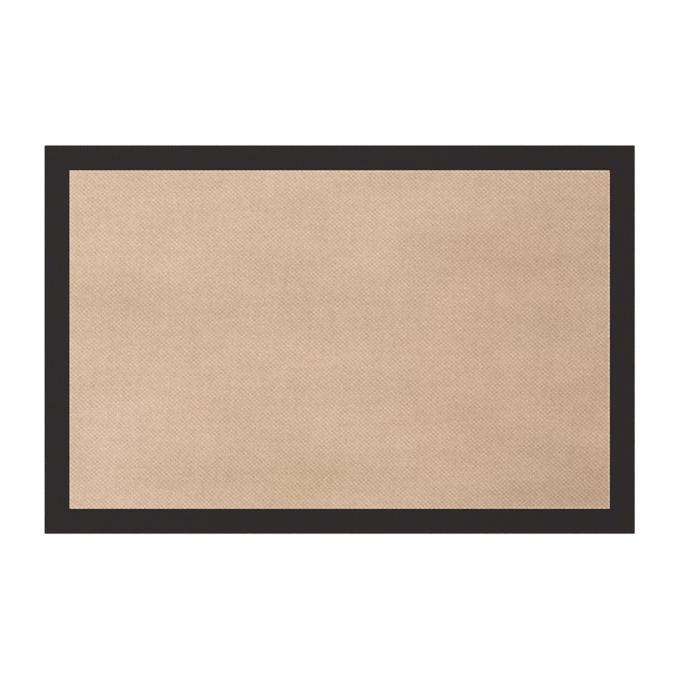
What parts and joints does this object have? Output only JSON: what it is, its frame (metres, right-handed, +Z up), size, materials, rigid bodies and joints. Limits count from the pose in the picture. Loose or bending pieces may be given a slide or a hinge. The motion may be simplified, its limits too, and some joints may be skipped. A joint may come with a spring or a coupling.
{
  "type": "silicone baking mat",
  "caption": "Flat rectangular silicone baking mat: woven glass fabric coated on both faces, with a dark border and a sealed edge.",
  "frame": {"origin": "middle of the mat's lower face, on the surface that it lies on", "axes": "+X along the long side, +Y along the short side, +Z up, square to the mat"},
  "size_m": [0.585, 0.385, 0.0008],
  "materials": {
    "beige_silicone": "matte",
    "charcoal_silicone": "matte",
    "glass_weave": "woven"
  },
  "bodies": {
    "root": {"bottom_border": "charcoal_silicone", "bottom_coat": "beige_silicone", "glass_fabric": "glass_weave", "top_coat": "beige_silicone", "top_border": "charcoal_silicone", "edge_seal": "charcoal_silicone"}
  },
  "joints": []
}
